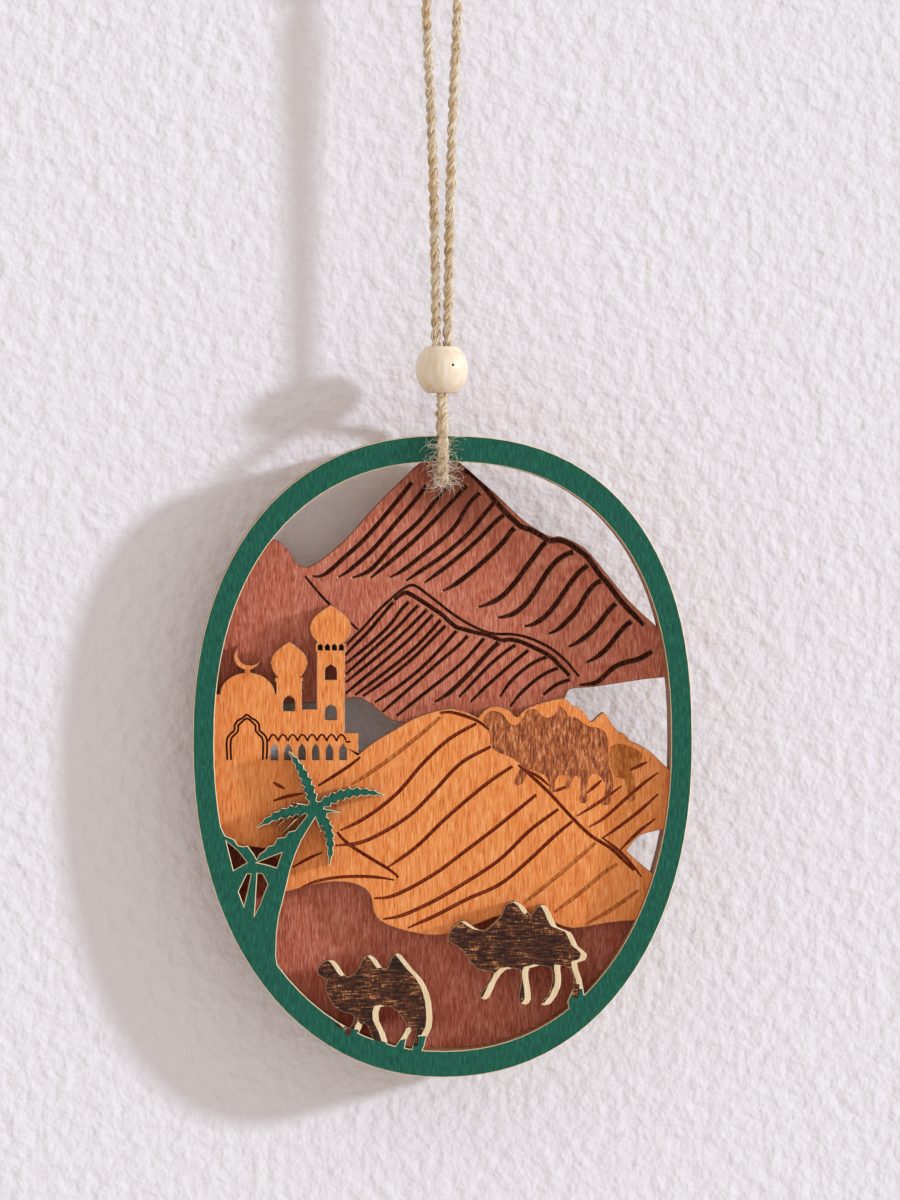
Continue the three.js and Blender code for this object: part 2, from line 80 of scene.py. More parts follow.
def make_camera():
    x, z = from_photo(PHOTO_SIZE[0] / 2, PHOTO_SIZE[1] / 2)
    target = Vector((x, front_low.y, z))
    across = math.sin(CAMERA_LEFT) * math.cos(CAMERA_ABOVE)
    back = math.cos(CAMERA_LEFT) * math.cos(CAMERA_ABOVE)
    towards = Vector((-across, -back, math.sin(CAMERA_ABOVE)))
    data = bpy.data.cameras.new("camera")
    data.sensor_width = SENSOR_MM
    data.lens = SENSOR_MM * CAMERA_DISTANCE / (PHOTO_SIZE[1] / PX_PER_MM * MM)
    data.clip_start = 0.05
    data.clip_end = 20
    camera = bpy.data.objects.new("camera", data)
    camera.location = target + towards * CAMERA_DISTANCE
    camera.rotation_euler = (-towards).to_track_quat("-Z", "Y").to_euler()
    bpy.context.collection.objects.link(camera)
    bpy.context.scene.camera = camera


make_camera()


# Lines, tubes and meshes

def smooth(line, steps=6):
    """A centripetal Catmull-Rom curve through points, the curve that the CAD twine follows."""
    padded = [line[0] * 2 - line[1], *line, line[-1] * 2 - line[-2]]
    curve = []
    for a, b, c, d in zip(padded, padded[1:], padded[2:], padded[3:]):
        tb = (b - a).length ** 0.5
        tc = tb + (c - b).length ** 0.5
        td = tc + (d - c).length ** 0.5
        for i in range(steps):
            t = tb + (tc - tb) * i / steps
            ab = a.lerp(b, t / tb)
            bc = b.lerp(c, (t - tb) / (tc - tb))
            cd = c.lerp(d, (t - tc) / (td - tc))
            curve.append(ab.lerp(bc, t / tc).lerp(bc.lerp(cd, (t - tb) / (td - tb)), (t - tb) / (tc - tb)))
    return curve + [line[-1]]


def evenly(line, gap):
    """Points a gap apart along a line."""
    spaced = [line[0]]
    walked = 0.0
    for a, b in zip(line, line[1:]):
        run = (b - a).length
        while walked + run >= gap * len(spaced):
            spaced.append(a.lerp(b, (gap * len(spaced) - walked) / run))
        walked += run
    return spaced


def length_of(line):
    return sum((b - a).length for a, b in zip(line, line[1:]))


def frames(line):
    """At each point of a line, two directions square to it and to each other, which turn as little as they
    can."""
    across = (line[1] - line[0]).orthogonal().normalized()
    last = (line[1] - line[0]).normalized()
    found = []
    for i in range(len(line)):
        along = (line[min(i + 1, len(line) - 1)] - line[max(i - 1, 0)]).normalized()
        across = last.rotation_difference(along) @ across
        across = (across - along * across.dot(along)).normalized()
        found.append((across, along.cross(across)))
        last = along
    return found


def tube(bm, line, radius, sides):
    """A tube of faces along a line, closed at its ends. Radius is a number or a function of how far along."""
    uv = bm.loops.layers.uv.verify()
    rings = []
    far = 0.0
    for i, (point, (across, up)) in enumerate(zip(line, frames(line))):
        far += (point - line[i - 1]).length if i else 0
        r = radius(far) if callable(radius) else radius
        ring = []
        for k in range(sides):
            angle = 2 * math.pi * k / sides
            ring.append(bm.verts.new(point + (across * math.cos(angle) + up * math.sin(angle)) * r))
        rings.append((far, r, ring))
    for (far_a, r_a, a), (far_b, r_b, b) in zip(rings, rings[1:]):
        for k in range(sides):
            face = bm.faces.new((a[k], a[(k + 1) % sides], b[(k + 1) % sides], b[k]))
            face.smooth = True
            turn = 2 * math.pi / sides
            spots = ((k * r_a, far_a), ((k + 1) * r_a, far_a), ((k + 1) * r_b, far_b), (k * r_b, far_b))
            for loop, (u, v) in zip(face.loops, spots):
                loop[uv].uv = (u * turn / MM, v / MM)
    bm.faces.new(rings[0][2][::-1])
    bm.faces.new(rings[-1][2])


def solid(name, bm, materials):
    """An object from mesh data, in the row frame."""
    mesh = bpy.data.meshes.new(name)
    bm.to_mesh(mesh)
    bm.free()
    for material in materials:
        mesh.materials.append(material)
    made = bpy.data.objects.new(name, mesh)
    bpy.context.collection.objects.link(made)
    return made


LEAST_KEPT = 0.9  # of a piece's volume, after any one cut


def volume_of(mesh):
    bm = bmesh.new()
    bm.from_mesh(mesh)
    volume = abs(bm.calc_volume())
    bm.free()
    return volume


def boolean(made, other, operation, solvers=("EXACT", "MANIFOLD")):
    """Cuts another solid away from this one, or keeps what both share, and closes what the cut leaves open.
    The other one is used up. Where a solver loses the piece that it cuts, the next one makes the cut."""
    least = LEAST_KEPT * volume_of(made.data) if operation == "DIFFERENCE" else 0.0
    modifier = made.modifiers.new(operation, "BOOLEAN")
    modifier.operation = operation
    modifier.material_mode = "TRANSFER"
    modifier.object = other
    for solver in solvers:
        modifier.solver = solver
        bpy.context.view_layer.update()
        result = made.evaluated_get(bpy.context.evaluated_depsgraph_get())
        if volume_of(result.data) > least:
            break
    made.data = bpy.data.meshes.new_from_object(result)
    made.modifiers.clear()
    bpy.data.objects.remove(other)
    bm = bmesh.new()
    bm.from_mesh(made.data)
    bmesh.ops.holes_fill(bm, edges=[edge for edge in bm.edges if edge.is_boundary], sides=0)
    bm.to_mesh(made.data)
    bm.free()


def stands_for(made, node, body):
    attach(made, body)
    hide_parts(node)
    return made


# Materials

def linear(hex_colour):
    """An sRGB hex colour as linear RGBA."""
    shades = [int(hex_colour[i:i + 2], 16) / 255 for i in (1, 3, 5)]
    return (*[s / 12.92 if s <= 0.04045 else ((s + 0.055) / 1.055) ** 2.4 for s in shades], 1.0)


def add(tree, kind, inputs=(), stops=(), out=0, to=None, **settings):
    """Adds a node with its settings, its colour stops and its inputs: values, or outputs of other nodes. The
    output that is asked for is linked to a socket, where one is given, and returned."""
    made = tree.nodes.new("ShaderNode" + kind)
    for name, value in settings.items():
        setattr(made, name, value)
    if stops:
        ramp = made.color_ramp.elements
        while len(ramp) < len(stops):
            ramp.new(1.0)
        for element, (position, shade) in zip(ramp, stops):
            element.position = position
            element.color = linear(shade)
    for socket, value in dict(inputs).items():
        if isinstance(value, bpy.types.NodeSocket):
            tree.links.new(value, made.inputs[socket])
        else:
            made.inputs[socket].default_value = value
    if to is not None:
        tree.links.new(made.outputs[out], to)
    return made.outputs[out]


def material(name, roughness, specular):
    """A new material, its nodes and its shader's sockets."""
    made = bpy.data.materials.new(name)
    made.use_nodes = True
    sockets = made.node_tree.nodes["Principled BSDF"].inputs
    sockets["Roughness"].default_value = roughness
    sockets["Specular IOR Level"].default_value = specular
    return made, made.node_tree, sockets


# A Mix node's sockets for colours, three inputs and its output, by number because others share their names
FACTOR, FIRST, SECOND, MIXED = 0, 6, 7, 2


def streaks(tree, across, along, detail=3.0, seed=0.0):
    """Noise drawn out up and down the panel, as wood fibres lie in the sheets: sizes in millimetres."""
    place = add(tree, "TexCoord", out="Object")
    sized = add(tree, "Mapping", {
        "Vector": place,
        "Location": (seed, 0, seed),
        "Scale": (1 / (across * MM), 1 / (across * MM), 1 / (along * MM)),
    })
    return add(tree, "TexNoise", {"Vector": sized, "Scale": 1.0, "Detail": detail})


PEAK = (462, 478)  # in the photograph


def brown_stained_plywood():
    """Plywood face under reddish brown stain: fine upright fibres, and laser smoke round the peak."""
    made, tree, sockets = material("brown_stained_plywood", roughness=0.62, specular=0.3)
    fine = streaks(tree, across=0.2, along=1.3)
    patches = streaks(tree, across=1.1, along=7, seed=7)
    fibres = add(tree, "ValToRGB", {"Fac": fine}, [
        (0.30, "#9c4730"), (0.46, "#c16d53"), (0.58, "#cc7f6a"), (0.74, "#e6a486")])
    tone = add(tree, "ValToRGB", {"Fac": patches}, [(0.35, "#fbeadf"), (0.65, "#fffafb")])
    toned = {FACTOR: 1.0, FIRST: fibres, SECOND: tone}
    grained = add(tree, "Mix", toned, out=MIXED, data_type="RGBA", blend_type="MULTIPLY")
    place = add(tree, "TexCoord", out="Object")
    peak = from_photo(*PEAK)
    middle = (peak.x, rear_low.y, peak.y)
    away = add(tree, "VectorMath", {0: place, 1: middle}, out="Value", operation="DISTANCE")
    ragged = add(tree, "Math", {0: patches, 1: 8 * MM, 2: away}, operation="MULTIPLY_ADD")
    smoke = add(tree, "MapRange", {"Value": ragged, "From Min": 15 * MM, "From Max": 6 * MM, "To Max": 0.8})
    smoked = {FACTOR: smoke, FIRST: grained, SECOND: linear("#7d3c28")}
    add(tree, "Mix", smoked, out=MIXED, to=sockets["Base Color"], data_type="RGBA")
    add(tree, "Bump", {"Height": fine, "Distance": 0.05 * MM}, to=sockets["Normal"])
    return made


def orange_stained_plywood():
    """Plywood face under orange stain: long upright pores that show as darker and paler threads."""
    made, tree, sockets = material("orange_stained_plywood", roughness=0.55, specular=0.35)
    fine = streaks(tree, across=0.2, along=1.7, seed=3)
    patches = streaks(tree, across=0.9, along=12, seed=11)
    fibres = add(tree, "ValToRGB", {"Fac": fine}, [
        (0.30, "#d26c28"), (0.45, "#ee9047"), (0.58, "#f69d5a"), (0.74, "#ffbe84")])
    tone = add(tree, "ValToRGB", {"Fac": patches}, [(0.35, "#fbeee0"), (0.65, "#fffefc")])
    toned = {FACTOR: 1.0, FIRST: fibres, SECOND: tone}
    add(tree, "Mix", toned, out=MIXED, to=sockets["Base Color"], data_type="RGBA", blend_type="MULTIPLY")
    add(tree, "Bump", {"Height": fine, "Distance": 0.06 * MM}, to=sockets["Normal"])
    return made


def green_painted_plywood():
    """Matt green paint rolled on a plywood face: the grain shows through faintly, with bare specks."""
    made, tree, sockets = material("green_painted_plywood", roughness=0.55, specular=0.2)
    fine = streaks(tree, across=0.25, along=1.6, seed=5)
    specks = streaks(tree, across=0.18, along=0.35, detail=1.0, seed=21)
    paint = add(tree, "ValToRGB", {"Fac": fine}, [
        (0.3, "#0d4a3a"), (0.5, "#185c4b"), (0.7, "#26705d")])
    bare = add(tree, "MapRange", {"Value": specks, "From Min": 0.76, "From Max": 0.8})
    specked = {FACTOR: bare, FIRST: paint, SECOND: linear("#b9c7ab")}
    add(tree, "Mix", specked, out=MIXED, to=sockets["Base Color"], data_type="RGBA")
    add(tree, "Bump", {"Height": fine, "Distance": 0.03 * MM}, to=sockets["Normal"])
    return made


def bare_birch():
    """Bare birch veneer, pale with fine upright fibres: the backs, and where the print misses the camels."""
    made, tree, sockets = material("bare_birch_veneer", roughness=0.6, specular=0.3)
    fine = streaks(tree, across=0.3, along=7, seed=9)
    add(tree, "ValToRGB", {"Fac": fine}, [
        (0.3, "#dfbf92"), (0.55, "#f0d8b0"), (0.75, "#f8e8cc")], to=sockets["Base Color"])
    add(tree, "Bump", {"Height": fine, "Distance": 0.04 * MM}, to=sockets["Normal"])
    return made


PLY_PAIR = 2 * MM  # a pale ply and a dark one, through the sheets' thickness


def charred_cut():
    """Laser-cut plywood edge: the plies lie in bands through the thickness, toasted brown."""
    made, tree, sockets = material("laser_cut_plywood_edge", roughness=0.7, specular=0.25)
    place = add(tree, "TexCoord", out="Object")
    depth = add(tree, "SeparateXYZ", {"Vector": place}, out="Y")
    plies = add(tree, "Math", {0: depth, 1: 2 * math.pi / PLY_PAIR}, operation="MULTIPLY")
    wave = add(tree, "Math", {0: plies}, operation="SINE")
    scorch = streaks(tree, across=0.5, along=0.5, seed=13)
    banded = add(tree, "Math", {0: wave, 1: 0.12, 2: scorch}, operation="MULTIPLY_ADD")
    add(tree, "ValToRGB", {"Fac": banded}, [
        (0.30, "#60331f"), (0.5, "#9c6443"), (0.68, "#c6946a"), (0.85, "#e2bf98")], to=sockets["Base Color"])
    add(tree, "Bump", {"Height": scorch, "Distance": 0.05 * MM}, to=sockets["Normal"])
    return made


def charred_groove():
    """Wood burnt away by a slow laser pass: nearly black, rough and without shine."""
    made, tree, sockets = material("laser_charred_groove", roughness=0.85, specular=0.15)
    soot = streaks(tree, across=0.3, along=0.6, seed=17)
    add(tree, "ValToRGB", {"Fac": soot}, [
        (0.35, "#30110b"), (0.55, "#4c1f14"), (0.75, "#7b4130")], to=sockets["Base Color"])
    add(tree, "Bump", {"Height": soot, "Distance": 0.05 * MM}, to=sockets["Normal"])
    return made


def engraved_birch():
    """Birch darkened line by line by the laser: rows that run across, with paler wood between them, the
    palest of it painted glints. The real rows are too fine to show and are drawn about 0.2 mm apart."""
    made, tree, sockets = material("laser_rastered_birch", roughness=0.6, specular=0.25)
    place = add(tree, "TexCoord", out="Object")
    sized = add(tree, "Mapping", {
        "Vector": place,
        "Scale": (1 / (1.5 * MM), 1 / (1 * MM), 1 / (0.2 * MM)),
    })
    rows = add(tree, "TexNoise", {"Vector": sized, "Scale": 1.0, "Detail": 4.0})
    grain = streaks(tree, across=0.2, along=0.9, detail=2.0, seed=43)
    charring = streaks(tree, across=4.5, along=4.5, detail=1.0, seed=47)
    woven = add(tree, "Math", {0: grain, 1: 0.5, 2: rows}, operation="MULTIPLY_ADD")
    burnt = add(tree, "Math", {0: charring, 1: 0.45, 2: woven}, operation="MULTIPLY_ADD")
    level = add(tree, "MapRange", {"Value": burnt, "From Min": 0.7, "From Max": 1.3})
    # The palest stop paints glints of light on the rows; the darker stops are the burn itself.
    add(tree, "ValToRGB", {"Fac": level}, [
        (0.2, "#1d0c06"), (0.45, "#442012"), (0.66, "#6d3b20"), (0.85, "#c98e56")], to=sockets["Base Color"])
    add(tree, "Bump", {"Height": rows, "Distance": 0.08 * MM}, to=sockets["Normal"])
    return made


def scorched_wall():
    """Side of a groove in plywood: bare wood toasted by the laser, paler than the floor."""
    made, tree, sockets = material("scorched_groove_side", roughness=0.7, specular=0.2)
    toast = streaks(tree, across=0.3, along=0.5, seed=19)
    add(tree, "ValToRGB", {"Fac": toast}, [
        (0.3, "#8f5038"), (0.5, "#c08465"), (0.7, "#e6bb9c")], to=sockets["Base Color"])
    add(tree, "Bump", {"Height": toast, "Distance": 0.04 * MM}, to=sockets["Normal"])
    return made


def burnt_line():
    """A line burnt into the orange sheet by one light laser pass: dark red-brown, dull."""
    made, tree, sockets = material("laser_burnt_line", roughness=0.8, specular=0.2)
    soot = streaks(tree, across=0.25, along=0.4, seed=31)
    add(tree, "ValToRGB", {"Fac": soot}, [
        (0.3, "#5c1a09"), (0.5, "#862f10"), (0.72, "#ae5426")], to=sockets["Base Color"])
    add(tree, "Bump", {"Height": soot, "Distance": 0.04 * MM}, to=sockets["Normal"])
    return made


def faint_burn():
    """A weak, smoky laser pass over orange stain: light brown, with the stain still showing."""
    made, tree, sockets = material("weak_laser_burn", roughness=0.7, specular=0.25)
    smoke = streaks(tree, across=0.4, along=1.2, seed=37)
    add(tree, "ValToRGB", {"Fac": smoke}, [
        (0.3, "#9a4a18"), (0.5, "#b9652a"), (0.72, "#d08a48")], to=sockets["Base Color"])
    add(tree, "Bump", {"Height": smoke, "Distance": 0.04 * MM}, to=sockets["Normal"])
    return made


def far_camel_burn():
    """Orange-stained plywood darkened in close rows: brown, broken into upright threads by the grain."""
    made, tree, sockets = material("laser_rastered_stain", roughness=0.6, specular=0.35)
    threads = streaks(tree, across=0.26, along=1.1, detail=4.0, seed=41)
    add(tree, "ValToRGB", {"Fac": threads}, [
        (0.34, "#6b2f15"), (0.48, "#a65528"), (0.6, "#c97440"), (0.76, "#f0b888")], to=sockets["Base Color"])
    add(tree, "Bump", {"Height": threads, "Distance": 0.12 * MM}, to=sockets["Normal"])
    return made


def turned_bead_wood():
    """A turned bead of pale close-grained wood, sanded smooth and unvarnished: a broad soft gloss."""
    made, tree, sockets = material("turned_pale_wood", roughness=0.42, specular=0.45)
    grain = streaks(tree, across=0.7, along=6, seed=23)
    add(tree, "ValToRGB", {"Fac": grain}, [
        (0.3, "#e5cdab"), (0.55, "#eddac1"), (0.75, "#f2e5d4")], to=sockets["Base Color"])
    add(tree, "Bump", {"Height": grain, "Distance": 0.02 * MM}, to=sockets["Normal"])
    return made


def jute():
    """Two-ply jute: dull straw-brown yarns of coarse fibres that lean round each ply."""
    made, tree, sockets = material("spun_jute", roughness=0.9, specular=0.15)
    run = add(tree, "TexCoord", out="UV")
    leaning = add(tree, "Mapping", {
        "Vector": run,
        "Rotation": (0, 0, math.radians(24)),
        "Scale": (1 / 0.11, 1 / 1.6, 1),
    })
    fibres = add(tree, "TexNoise", {"Vector": leaning, "Scale": 1.0, "Detail": 3.0})
    patches = streaks(tree, across=3, along=5, detail=2.0, seed=29)
    yarn = add(tree, "ValToRGB", {"Fac": fibres}, [
        (0.32, "#6f5438"), (0.43, "#bea283"), (0.54, "#e3d2ba"), (0.68, "#fcf5ea")])
    tone = add(tree, "ValToRGB", {"Fac": patches}, [(0.35, "#efe0c6"), (0.6, "#fffdf8")])
    toned = {FACTOR: 1.0, FIRST: yarn, SECOND: tone}
    add(tree, "Mix", toned, out=MIXED, to=sockets["Base Color"], data_type="RGBA", blend_type="MULTIPLY")
    add(tree, "Bump", {"Height": fibres, "Distance": 0.08 * MM}, to=sockets["Normal"])
    return made


def loose_fibre():
    """A single jute fibre that has come out of its yarn: pale, thin and a little shiny."""
    made, tree, sockets = material("loose_jute_fibre", roughness=0.6, specular=0.4)
    bleached = streaks(tree, across=2, along=2, detail=1.0, seed=53)
    add(tree, "ValToRGB", {"Fac": bleached}, [(0.35, "#d8bf9c"), (0.6, "#f6ecdc")], to=sockets["Base Color"])
    return made


char = charred_groove()
cut_edge = charred_cut()
birch = bare_birch()
scorched = scorched_wall()
camel_burn = engraved_birch()
twine_jute = jute()


# Twine: the route is the CAD's, from the knot down the front half to the hole, and back up behind

TWINE_HALF_MM = [
    (-0.85, 0, 1.1), (-1.85, 0, -1.1), (-2.4, 0, -3.9), (-2.25, 0, -9), (-1.65, 0, -22.4),
    (-1.2, 0, -38), (-1.02, 0, -48), (-0.9, 0, -56), (-0.82, -0.36, -58.7), (-0.62, -0.64, -61),
    (-0.3, -0.85, -63.2), (0, -0.95, -64.6), (0, -2.05, -65.8), (0, -3.75, -67.1), (0, -5.1, -68.5),
    (0, -5.55, -70), (0, -5.55, -76), (0, -5.2, -77.2), (0, -4.4, -77.95), (0, -3.4, -78.2),
]
TWIST = 4.2 * MM  # along the twine for one turn of its plies
PLY_RADIUS = 0.46 * MM
PLY_OUT = 0.35 * MM  # from the twine's middle to a ply's
PLY_STEP = 0.22 * MM
PLY_SIDES = 10
LUMP = 1.3 * MM  # along a ply, from thick to thin
LUMPINESS = 0.16
FULLNESS = 0.3  # how much fuller the plies are where they are frayed
FULLEST = 3 * MM  # where that is, measured along the twine before the hanging hole
FULL_SPREAD = 5 * MM


def rope(bm, line, swell=lambda far: 1.0):
    """Two plies twisted together along a line. Swell says how much fuller they are, by how far along."""
    spaced = evenly(line, PLY_STEP)
    turned = frames(spaced)
    for phase in (0, math.pi):
        wound = []
        for i, (point, (across, up)) in enumerate(zip(spaced, turned)):
            angle = phase + 2 * math.pi * i * PLY_STEP / TWIST
            out = PLY_OUT * swell(i * PLY_STEP)
            wound.append(point + (across * math.cos(angle) + up * math.sin(angle)) * out)

        def radius(far, phase=phase):
            lumps = noise.noise(Vector((far / LUMP, phase, 0.5)))
            return PLY_RADIUS * swell(far) * (1 + LUMPINESS * lumps)

        tube(bm, wound, radius, PLY_SIDES)


def make_twine():
    half = [Vector(p) * MM for p in TWINE_HALF_MM]
    back = [Vector((-p.x, -p.y, p.z)) for p in reversed(half)]
    route = smooth(half + back)
    middle = length_of(route) / 2
    bm = bmesh.new()
    rope(bm, route, lambda far: 1 + FULLNESS * math.exp(-((far - middle + FULLEST) / FULL_SPREAD) ** 2))
    made = solid("twine_plies", bm, [twine_jute])
    return stands_for(made, "twine", "hanger"), route


twine, twine_route = make_twine()


# Stray fibres: ends that stand off the twine and curl, thickest where it is frayed at the hanging hole

FIBRE_RADIUS = 0.055 * MM
FIBRE_STEPS = 8
FIBRE_SIDES = 4
FIBRE_WAVE = 0.35  # of its reach, to the side
FIBRE_LEAN = 0.35  # out from the twine, where it starts
FIBRE_TIP = 0.3  # of its radius
FIBRE_ROOT = 0.45 * MM  # from the twine's middle
FRAYED = 11.5 * MM  # how far from the hole the twine is frayed, measured along it
FIBRES = 520  # on the whole twine
FRAYED_FIBRES = 210  # more of them by the hole
FIBRE_SEED = 9
REACH_MM = (0.7, 1.7)
CURL = (0.2, 1.3)
FRAYED_REACH = 1.5  # times the others'
FRAYED_CURL = 1.9


def fibre(bm, start, along, out, reach, curl, luck):
    """One fibre that leaves the twine, bends away and tapers to its tip."""
    side = along.cross(out)
    line = []
    for i in range(FIBRE_STEPS + 1):
        t = i / FIBRE_STEPS
        turn = curl * t
        drift = along * math.cos(turn) + out * (FIBRE_LEAN + math.sin(turn))
        line.append(start + (drift * t + side * FIBRE_WAVE * math.sin(3 * t + luck)) * reach)
    tube(bm, line, lambda far: FIBRE_RADIUS * max(FIBRE_TIP, 1 - far / (1.6 * reach)), FIBRE_SIDES)


def make_fibres():
    spaced = evenly(twine_route, PLY_STEP)
    turned = frames(spaced)
    middle = len(spaced) // 2
    frayed = int(FRAYED / PLY_STEP)
    chance = random.Random(FIBRE_SEED)
    spots = [chance.randrange(4, len(spaced) - 4) for _ in range(FIBRES)]
    spots += [middle - chance.randrange(0, frayed) for _ in range(FRAYED_FIBRES)]
    bm = bmesh.new()
    for spot in spots:
        across, up = turned[spot]
        angle = chance.uniform(0, 2 * math.pi)
        out = across * math.cos(angle) + up * math.sin(angle)
        along = (spaced[spot + 1] - spaced[spot - 1]).normalized() * chance.choice((-1, 1))
        near_hole = 0 < middle - spot < frayed
        reach = chance.uniform(*REACH_MM) * MM * (FRAYED_REACH if near_hole else 1.0)
        curl = chance.uniform(*CURL) * (FRAYED_CURL if near_hole else 1.0)
        fibre(bm, spaced[spot] + out * FIBRE_ROOT, along, out, reach, curl, chance.uniform(0, 6))
    made = solid("stray_jute_fibres", bm, [loose_fibre()])
    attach(made, "hanger")
    return made


fibres = make_fibres()


# Knot: both ends turned round the twine and drawn tight, with two cut tails

# One strand from the knot's foot through it to its cut end. The other is the same, turned half round.
STRAND_MM = [
    (0.85, 0, -0.1), (0.7, 0.4, 1.4), (-0.2, 0.75, 2.6), (0.3, -0.3, 4.0), (0.95, 0.1, 5.4), (1.5, 0.35, 8.3),
    (2.1, 0.1, 11.3),
]
TURN_STEPS = 16
TURNS = 2  # round both strands
TURN_ACROSS = 1.5 * MM
TURN_THROUGH = 1.12 * MM
TURN_LEAN = 0.35 * MM
TURN_START = 0.6


def make_knot():
    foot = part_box("twine_knot")[0].z
    bm = bmesh.new()
    for side in (-1, 1):
        strand = [Vector((side * x, side * y, z)) * MM + Vector((0, 0, foot)) for x, y, z in STRAND_MM]
        rope(bm, smooth(strand))
    turns = []
    for i in range(TURNS * TURN_STEPS + 1):
        angle = 2 * math.pi * i / TURN_STEPS + TURN_START
        height = (1.5 + 1.9 * i / (TURNS * TURN_STEPS)) * MM
        turns.append(Vector((
            TURN_ACROSS * math.cos(angle), TURN_THROUGH * math.sin(angle),
            foot + height + TURN_LEAN * math.cos(angle),
        )))
    rope(bm, turns)
    return stands_for(solid("knot", bm, [twine_jute]), "twine_knot", "hanger")


knot = make_knot()


# Bead: turned, with its bore's mouths eased

BEAD_BORE = 1.95 * MM
BORE_EASE = 0.35 * MM
BEAD_SIDES = 72
BEAD_STEPS = 32
MOUTH_STEPS = 4
PIT_PX = (453, 365)  # a small knot hole in the bead, in the photograph
PIT_RADIUS = 0.2 * MM


def make_bead():
    low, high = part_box("bead")
    middle = (low + high) / 2
    radius = (high.x - low.x) / 2
    half = (high.z - low.z) / 2
    mouth = BEAD_BORE + BORE_EASE
    swell = half / math.sqrt(1 - (mouth / radius) ** 2)
    start = math.asin(half / swell)
    profile = [(BEAD_BORE, -half + BORE_EASE)]
    for i in range(1, MOUTH_STEPS + 1):
        turn = math.pi / 2 * i / MOUTH_STEPS
        r = BEAD_BORE + BORE_EASE * (1 - math.cos(turn))
        profile.append((r, -half + BORE_EASE * (1 - math.sin(turn))))
    for i in range(1, BEAD_STEPS):
        angle = -start + 2 * start * i / BEAD_STEPS
        profile.append((radius * math.cos(angle), swell * math.sin(angle)))
    profile += [(r, -z) for r, z in profile[:MOUTH_STEPS + 1][::-1]]
    bm = bmesh.new()
    rings = []
    for r, z in profile:
        ring = []
        for k in range(BEAD_SIDES):
            angle = 2 * math.pi * k / BEAD_SIDES
            ring.append(bm.verts.new(middle + Vector((r * math.cos(angle), r * math.sin(angle), z))))
        rings.append(ring)
    for a, b in zip(rings, rings[1:] + rings[:1]):
        for k in range(BEAD_SIDES):
            bm.faces.new((a[k], a[(k + 1) % BEAD_SIDES], b[(k + 1) % BEAD_SIDES], b[k])).smooth = True
    made = solid("turned_bead", bm, [turned_bead_wood()])
    pit = from_photo(*PIT_PX) - Vector((middle.x, middle.z))
    depth = math.sqrt(radius ** 2 - pit.x ** 2 - (pit.y * radius / swell) ** 2)
    knot_hole = bmesh.new()
    bmesh.ops.create_icosphere(knot_hole, subdivisions=2, radius=PIT_RADIUS)
    bmesh.ops.translate(knot_hole, verts=knot_hole.verts, vec=middle + Vector((pit.x, -depth, pit.y)))
    boolean(made, solid("pit", knot_hole, [char]), "DIFFERENCE")
    return stands_for(made, "bead", "bead")


bead = make_bead()


# Sheets: each is the CAD sheet with its arrises eased, cut edges charred, and its engraving cut in

FRONT, EDGE, BACK = range(3)  # places in a sheet's list of materials
FACING = 0.9  # of a normal, where a face looks out of the sheet's front or back


def cad_mesh(node):
    """The node's own mesh data, with each flat face in one piece."""
    bm = bmesh.new()
    bm.from_mesh(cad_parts[node].data)
    bmesh.ops.remove_doubles(bm, verts=bm.verts, dist=1e-7)
    bmesh.ops.dissolve_limit(bm, angle_limit=math.radians(0.5), verts=bm.verts, edges=bm.edges)
    bm.normal_update()
    return bm


def sheet(node, name, front, eased, arris):
    """A CAD sheet with its materials and its arrises eased. Eased is their finish's place in the list."""
    bm = cad_mesh(node)
    for face in bm.faces:
        face.material_index = FRONT if face.normal.y < -FACING else BACK if face.normal.y > FACING else EDGE
    arrises = [edge for edge in bm.edges if len({face.material_index for face in edge.link_faces}) == 2]
    bmesh.ops.bevel(
        bm, geom=arrises, offset=arris, offset_type="OFFSET", segments=1, profile=0.5, affect="EDGES",
        clamp_overlap=False, material=eased,
    )
    return solid(name, bm, [front, cut_edge, birch])


LIFT = 0.1 * MM  # how far cutters stand out of the face that they cut
STROKE_GAP = 0.45 * MM  # from one section of a groove to the next
LONGEST_FADE = 3 * MM  # over which a groove grows to its full size
FADE_SHARE = 0.35  # of a short groove's length
FLOOR_SHARE = 0.72  # how wide a groove's floor is beside its top


def add_stroke(bm, line, width, ends, face, depth):
    """A closed wedge along a line of (x, z) places, as wide as the groove at the sheet's face. Ends are the
    shares of its width and depth that it starts and stops with."""
    spine = evenly(smooth(line, 8), STROKE_GAP)
    whole = length_of(spine)
    fade = min(LONGEST_FADE, FADE_SHARE * whole)
    last = None
    for i, (x, z) in enumerate(spine):
        along = (spine[min(i + 1, len(spine) - 1)] - spine[max(i - 1, 0)]).normalized()
        far = STROKE_GAP * i
        full = min(1, ends[0] + (1 - ends[0]) * far / fade, ends[1] + (1 - ends[1]) * (whole - far) / fade)
        half = full * width / 2
        top = half * (1 + (1 - FLOOR_SHARE) * LIFT / depth)
        inward = along * depth / 2 * ((i == 0) - (i == len(spine) - 1))
        section = []
        for out, y in ((-top, face - LIFT), (top, face - LIFT)):
            section.append(bm.verts.new((x - along.y * out, y, z + along.x * out)))
        for out in (half * FLOOR_SHARE, -half * FLOOR_SHARE):
            place = Vector((x - along.y * out, z + along.x * out)) + inward
            section.append(bm.verts.new((place.x, face + depth * full, place.y)))
        if last:
            for k in range(4):
                side = bm.faces.new((last[k], last[(k + 1) % 4], section[(k + 1) % 4], section[k]))
                side.material_index = 1 if k == 2 else 0
        else:
            bm.faces.new(section)
        last = section
    bm.faces.new(last[::-1])


